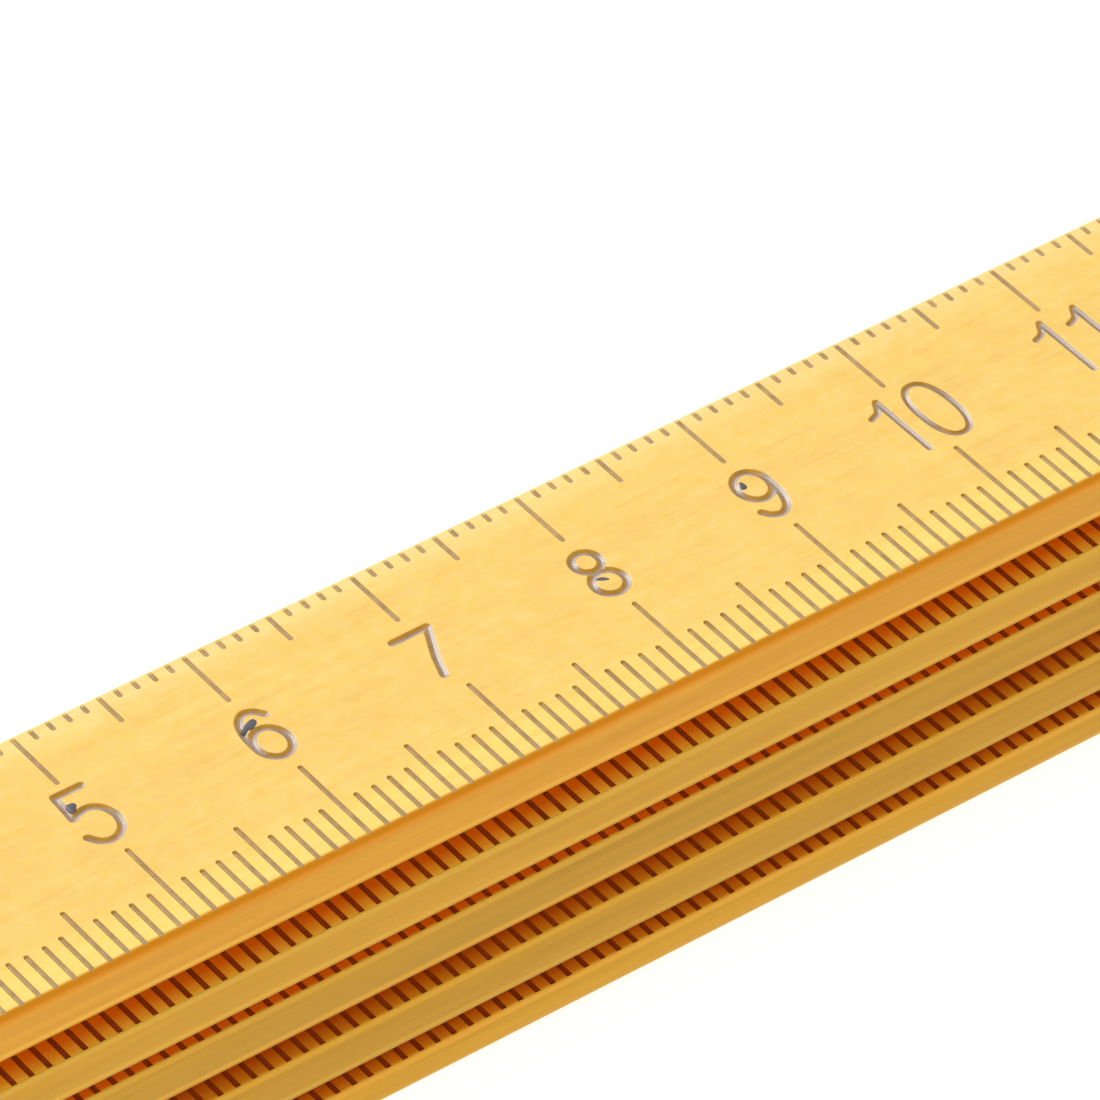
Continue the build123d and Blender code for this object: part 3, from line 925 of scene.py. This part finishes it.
# Linear colours in the order of lacquered_wood's arguments. The faces inside the stack are a little
# more orange than the outer faces. The red long edges of the upper faces inside the stack, lighter
# again at the lip, and the red undersides of leaves 1 to 4 are painted shade of the narrow gaps
# between the leaves. The lower arrises, and the upper arrises of leaves 2 to 5, are lighter than
# the sides: painted highlights.
OUTER_FACE = (0.87, 0.58, 0.155)
OUTER_RIM = (0.89, 0.655, 0.17)
INNER_FACE = (0.88, 0.53, 0.10)
UNDERSIDE = (0.88, 0.30, 0.014)
WOOD_TONES = {
    1: (OUTER_FACE, OUTER_RIM, OUTER_RIM, UNDERSIDE, (0.54, 0.253, 0.012), (0.56, 0.20, 0.001),
        (0.70, 0.37, 0.03)),
    2: (INNER_FACE, (0.90, 0.195, 0.002), (0.95, 0.46, 0.030), UNDERSIDE, (0.48, 0.24, 0.010),
        (0.51, 0.275, 0.02), (0.60, 0.335, 0.012)),
    3: (INNER_FACE, (0.84, 0.150, 0.002), (0.82, 0.19, 0.004), UNDERSIDE, (0.427, 0.229, 0.009),
        (0.50, 0.26, 0.015), (0.67, 0.31, 0.012)),
    4: (INNER_FACE, (0.62, 0.115, 0.002), (0.77, 0.29, 0.010), UNDERSIDE, (0.453, 0.232, 0.008),
        (0.53, 0.27, 0.012), (0.55, 0.325, 0.014)),
    5: (INNER_FACE, (0.62, 0.100, 0.002), (0.86, 0.31, 0.010), OUTER_FACE, (0.548, 0.285, 0.010),
        (0.60, 0.30, 0.020), (0.55, 0.30, 0.015)),
}


# ---------------- building the pieces
def cutter(name, low, high):
    """A plain block, in millimetres, that cuts other meshes and is then removed."""
    data = bpy.data.meshes.new(name)
    corners = [(x, y, z) for x in (low[0], high[0]) for y in (low[1], high[1]) for z in (low[2], high[2])]
    faces = [(0, 1, 3, 2), (4, 6, 7, 5), (0, 4, 5, 1), (2, 3, 7, 6), (0, 2, 6, 4), (1, 5, 7, 3)]
    data.from_pydata([tuple(c * MM for c in p) for p in corners], [], faces)
    obj = bpy.data.objects.new(name, data)
    bpy.context.scene.collection.objects.link(obj)
    return obj


CREASE_ANGLE = 27.0      # degrees between two faces
FLAT_TILT = 0.5          # a face tilted less than this counts as flat
SLOPE_TILT = 13.0        # and one tilted more than this as a slope


def set_sharp(data):
    """Smooth shading that stops at creases, and at once where a flat face meets a slope."""
    data.shade_smooth()
    data.set_sharp_from_angle(angle=math.radians(CREASE_ANGLE))
    count = len(data.polygons)
    normals = np.empty(count * 3)
    data.polygons.foreach_get("normal", normals)
    tilt = np.degrees(np.arccos(np.clip(np.abs(normals[2::3]), 0, 1)))
    sizes = np.empty(count, int)
    data.polygons.foreach_get("loop_total", sizes)
    loop_face = np.repeat(np.arange(count), sizes)
    loop_edge = np.empty(len(data.loops), int)
    data.loops.foreach_get("edge_index", loop_edge)
    least, most = np.full(len(data.edges), 180.0), np.zeros(len(data.edges))
    np.minimum.at(least, loop_edge, tilt[loop_face])
    np.maximum.at(most, loop_edge, tilt[loop_face])
    sharp = data.attributes.get("sharp_edge") or data.attributes.new("sharp_edge", "BOOLEAN", "EDGE")
    values = np.empty(len(data.edges), bool)
    sharp.data.foreach_get("value", values)
    values |= (least < FLAT_TILT) & (most > SLOPE_TILT)
    sharp.data.foreach_set("value", values)
    data.update()


def apply_boolean(obj, tool, operation):
    """Cuts obj with tool and keeps the result as its mesh."""
    modifier = obj.modifiers.new("cut", "BOOLEAN")
    modifier.operation = operation
    modifier.solver = "EXACT"
    modifier.object = tool
    graph = bpy.context.evaluated_depsgraph_get()
    data = bpy.data.meshes.new_from_object(obj.evaluated_get(graph))
    obj.modifiers.clear()
    old = obj.data
    obj.data = data
    bpy.data.meshes.remove(old)
    set_sharp(data)


CUT_MARGIN = 5.0         # how far a cutting block stands past what it cuts


def split_cap(leaf, full, cap_name):
    """Parts the end cap from a leaf's full shape; returns the cap."""
    free = -next(iter(leaf_joint_ends(leaf)))
    top_z, bottom_z = LEAF_TOP[leaf], LEAF_BOTTOM[leaf]
    inner_x = free * (HALF_LENGTH - CAP_LENGTH)
    outer_x = free * (HALF_LENGTH + CUT_MARGIN)
    wide = 2 * LEAF_WIDTH
    low = (min(inner_x, outer_x), -wide, bottom_z - CUT_MARGIN)
    high = (max(inner_x, outer_x), wide, top_z + CUT_MARGIN)
    zone = cutter("zone", low, high)
    tip_x = free * (HALF_LENGTH - CAP_SHEET)
    hollow_x = free * (HALF_LENGTH - CAP_LENGTH - CUT_MARGIN)
    hollow = cutter("hollow", (min(tip_x, hollow_x), -wide - CUT_MARGIN, bottom_z + CAP_SHEET),
                    (max(tip_x, hollow_x), wide + CUT_MARGIN, top_z - CAP_SHEET))
    apply_boolean(zone, hollow, "DIFFERENCE")
    cap = full.copy()
    cap.data = full.data.copy()
    cap.name = cap_name
    bpy.context.scene.collection.objects.link(cap)
    apply_boolean(cap, zone, "INTERSECT")
    apply_boolean(full, zone, "DIFFERENCE")
    for tool in (zone, hollow):
        bpy.data.objects.remove(tool)
    cap.data.materials.clear()
    cap.data.materials.append(CAP_METAL)
    return cap


for leaf in range(1, LEAVES + 1):
    body = f"leaf_{leaf}_assembly"
    mesh, sheets = make_leaf(leaf)
    wood = mesh.to_object(f"leaf_{leaf}_wood", lacquered_wood(leaf, *WOOD_TONES[leaf]))
    if leaf in (1, LEAVES):
        name = "zero_end_cap" if leaf == 1 else "far_end_cap"
        cap = split_cap(leaf, wood, f"{name}_sheet")
        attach(cap, body)
        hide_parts(name)
    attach(wood, body)
    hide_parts(f"leaf_{leaf}")
    for is_top, sheet in sheets.items():
        is_outer = leaf == (1 if is_top else LEAVES)
        face = "upper" if is_top else "lower"
        # the outer faces take the lit copy of the ink, the faces inside the stack the copy in painted shade
        ink_tone = LIT_INK[is_top] if is_outer else SHADED_INK
        ink = make_ink(sheet).to_object(f"leaf_{leaf}_{face}_ink", ink_tone)
        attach(ink, body)
    if leaf == 1:
        dark_spots = make_smudges(sheets[True]).to_object("leaf_1_dark_spots", DARK_SPOT_TONE)
        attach(dark_spots, body)

for name, node in frame["nodes"].items():
    if node.hide_render:             # a leaf or cap that a finer piece stands for
        continue
    metal_of = SPRING_METAL if "spring" in name else RIVET_METAL if "rivet" in name else PLATE_METAL
    node.data.materials.clear()
    node.data.materials.append(metal_of)


# ---------------- floor, light and camera
def look_at(obj, target):
    obj.rotation_euler = (Vector(target) - obj.location).to_track_quat("-Z", "Y").to_euler()


def soft_light(name, place, target, size, watts, colour=(1, 1, 1)):
    data = bpy.data.lights.new(name, "AREA")
    data.shape = "DISK"
    data.size = size
    data.energy = watts
    data.color = colour
    obj = bpy.data.objects.new(name, data)
    obj.location = place
    look_at(obj, target)
    obj.visible_camera = False
    bpy.context.scene.collection.objects.link(obj)
    return obj


FLOOR_REACH = 40.0       # metres
FLOOR_CLEARANCE = 0.02   # millimetres below the rule
floor_data = bpy.data.meshes.new("floor")
corners = [(-FLOOR_REACH, -FLOOR_REACH), (FLOOR_REACH, -FLOOR_REACH), (FLOOR_REACH, FLOOR_REACH),
           (-FLOOR_REACH, FLOOR_REACH)]
floor_data.from_pydata([(x, y, cad_low.z - FLOOR_CLEARANCE * MM) for x, y in corners], [], [(0, 1, 2, 3)])
floor = bpy.data.objects.new("floor", floor_data)
bpy.context.scene.collection.objects.link(floor)
floor_material, _, floor_shader = nodes_of("floor_paper")
floor_shader.inputs["Base Color"].default_value = (0.92, 0.92, 0.92, 1)
floor_shader.inputs["Roughness"].default_value = 0.9
floor_shader.inputs["Specular IOR Level"].default_value = 0.1
floor_shader.inputs["Emission Color"].default_value = (1, 1, 1, 1)
floor_shader.inputs["Emission Strength"].default_value = 0.55
floor_data.materials.append(floor_material)

world = bpy.data.worlds.new("studio")
world.use_nodes = True
world.node_tree.nodes["Background"].inputs["Color"].default_value = (1.0, 1.0, 1.0, 1)
world.node_tree.nodes["Background"].inputs["Strength"].default_value = 0.62
bpy.context.scene.world = world

soft_light("key", (-0.18, 1.05, 0.95), (0, 0, 0), 0.7, 15.0, (1.0, 0.99, 0.97))
soft_light("fill", (-0.5, -1.2, 0.55), (0, 0, 0), 1.2, 8.0, (1.0, 0.96, 0.9))
bpy.context.scene.view_settings.view_transform = "Standard"

CAMERA_AZIMUTH = math.radians(-37.56)
CAMERA_ELEVATION = math.radians(41.14)
CAMERA_ROLL = math.radians(1.07)
CAMERA_DISTANCE = 0.4783
CAMERA_LENS = 320.0
AIM_READING = 79.05      # on the top face of leaf 1, and this far from its near edge
AIM_ACROSS = 11.59

aim = Vector(((AIM_READING - HALF_LENGTH) * MM, (LEAF_MIDDLE[1] - HALF_WIDTH + AIM_ACROSS) * MM,
              LEAF_TOP[1] * MM))
forward = Vector((-math.sin(CAMERA_AZIMUTH) * math.cos(CAMERA_ELEVATION),
                  math.cos(CAMERA_AZIMUTH) * math.cos(CAMERA_ELEVATION), -math.sin(CAMERA_ELEVATION)))
level = forward.cross(Vector((0, 0, 1))).normalized()
upright = level.cross(forward)
right = level * math.cos(CAMERA_ROLL) + upright * math.sin(CAMERA_ROLL)
up = upright * math.cos(CAMERA_ROLL) - level * math.sin(CAMERA_ROLL)
camera_data = bpy.data.cameras.new("camera")
camera_data.lens = CAMERA_LENS
camera_data.sensor_width = 36.0
camera_data.clip_start = 0.01
camera_data.clip_end = 200.0
camera = bpy.data.objects.new("camera", camera_data)
camera.matrix_world = Matrix((
    (right.x, up.x, -forward.x, aim.x - forward.x * CAMERA_DISTANCE),
    (right.y, up.y, -forward.y, aim.y - forward.y * CAMERA_DISTANCE),
    (right.z, up.z, -forward.z, aim.z - forward.z * CAMERA_DISTANCE),
    (0, 0, 0, 1)))
bpy.context.scene.collection.objects.link(camera)
bpy.context.scene.camera = camera
